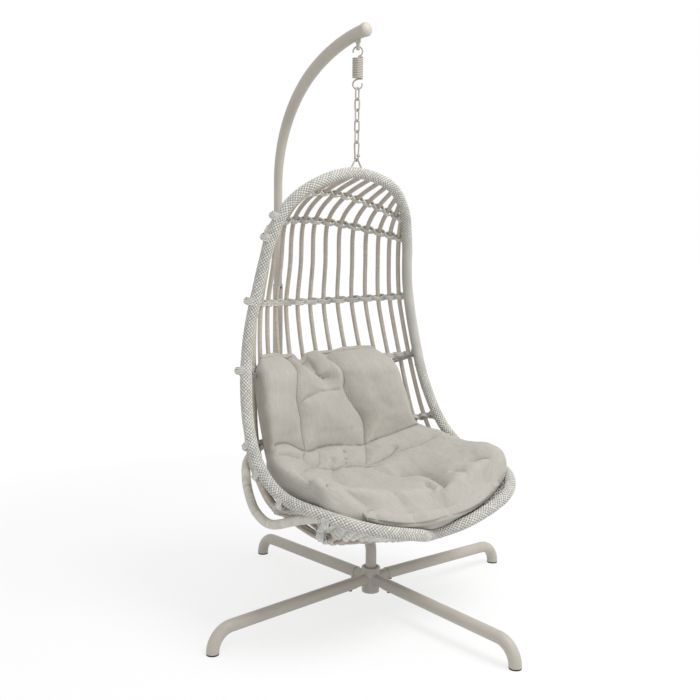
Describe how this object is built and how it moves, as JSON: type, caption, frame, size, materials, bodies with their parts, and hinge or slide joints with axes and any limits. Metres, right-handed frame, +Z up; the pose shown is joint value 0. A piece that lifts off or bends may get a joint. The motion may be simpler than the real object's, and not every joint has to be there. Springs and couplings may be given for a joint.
{
  "type": "hanging egg chair",
  "caption": "Wicker egg chair that hangs by a spring and chain from a curved mast on a four-legged stand, with a tufted seat cushion.",
  "frame": {"origin": "on the floor under the axis of the hub", "axes": "+Z up, chair faces -Y, +X to the right seen from the front, mast at +Y"},
  "size_m": [1.318, 1.318, 1.9504],
  "materials": {
    "frame": "semi-gloss powder coat",
    "gear": "coated steel wire",
    "screw": "dark plated",
    "plug": "matte",
    "wicker": "two-tone resin wicker wrap",
    "slat": "wound resin wicker",
    "hoop": "fine resin wicker wrap",
    "cushion": "soft woven cloth"
  },
  "bodies": {
    "stand": {"hub": "frame", "leg_front": "frame", "leg_right": "frame", "leg_rear": "frame", "leg_left": "frame", "foot_plugs": "plug", "leg_bolts": "frame", "lower_mast": "frame", "gooseneck": "frame", "mast_cap": "frame", "mast_screw": "screw", "post_screw": "screw", "hanger_boss": "gear"},
    "spring_unit": {"spring": "gear"},
    "chain_link_1": {"link_1": "gear"},
    "chain_link_2": {"link_2": "gear"},
    "chain_link_3": {"link_3": "gear"},
    "chain_link_4": {"link_4": "gear"},
    "chain_link_5": {"link_5": "gear"},
    "snap_hook_unit": {"snap_hook": "gear", "gate_pin": "gear"},
    "gate_unit": {"snap_gate": "gear"},
    "basket_unit": {"hanger_bracket": "gear", "rim": "wicker", "seat_hoop": "hoop", "band_1": "wicker", "band_2": "wicker", "band_3": "wicker", "band_4": "wicker", "band_5": "wicker", "band_6": "wicker", "band_7": "wicker", "band_8": "wicker", "slat_c": "slat", "slat_l1": "slat", "slat_l2": "slat", "slat_l3": "slat", "slat_l4": "slat", "slat_l5": "slat", "slat_l6": "slat", "slat_l7": "slat", "slat_l8": "slat", "slat_r1": "slat", "slat_r2": "slat", "slat_r3": "slat", "slat_r4": "slat", "slat_r5": "slat", "slat_r6": "slat", "slat_r7": "slat", "slat_r8": "slat", "cushion": "cushion"}
  },
  "joints": [
    {"name": "swing_fore_aft", "type": "hinge", "parent": "stand", "child": "spring_unit", "pos_m": [0, 0.102, 1.878], "axis": [-1, 0, 0], "range_deg": [-0.8, 12]},
    {"name": "spring_stretch", "type": "slide", "parent": "spring_unit", "child": "chain_link_1", "axis": [0, 0, -1], "range_m": [0, 0.01], "stiffness_N_per_m": 60000, "springref_m": -0.006, "deforming": ["spring"]},
    {"name": "link_2_turn", "type": "hinge", "parent": "chain_link_1", "child": "chain_link_2", "pos_m": [0, 0.102, 1.71185], "axis": [0, 0, 1], "range_deg": [-8, 8]},
    {"name": "swing_sideways", "type": "hinge", "parent": "chain_link_2", "child": "chain_link_3", "pos_m": [0, 0.102, 1.67105], "axis": [-0.2079, 0.9781, 0], "range_deg": [-4, 4]},
    {"name": "link_4_turn", "type": "hinge", "parent": "chain_link_3", "child": "chain_link_4", "pos_m": [0, 0.102, 1.64185], "axis": [0, 0, 1], "range_deg": [-8, 8]},
    {"name": "link_5_turn", "type": "hinge", "parent": "chain_link_4", "child": "chain_link_5", "pos_m": [0, 0.102, 1.60685], "axis": [0, 0, 1], "range_deg": [-8, 8]},
    {"name": "snap_hook_nod", "type": "hinge", "parent": "chain_link_5", "child": "snap_hook_unit", "pos_m": [0, 0.102, 1.56605], "axis": [-0.9781, -0.2079, 0], "range_deg": [-0.5, 5]},
    {"name": "gate_open", "type": "hinge", "parent": "snap_hook_unit", "child": "gate_unit", "pos_m": [0, 0.09377, 1.52401], "axis": [-1, 0, 0], "range_deg": [0, 20], "stiffness_Nm_per_rad": 0.05, "springref_deg": -20.05},
    {"name": "basket_rock", "type": "hinge", "parent": "snap_hook_unit", "child": "basket_unit", "pos_m": [0, 0.102, 1.5071], "axis": [0, 1, 0], "range_deg": [-2, 2]}
  ]
}
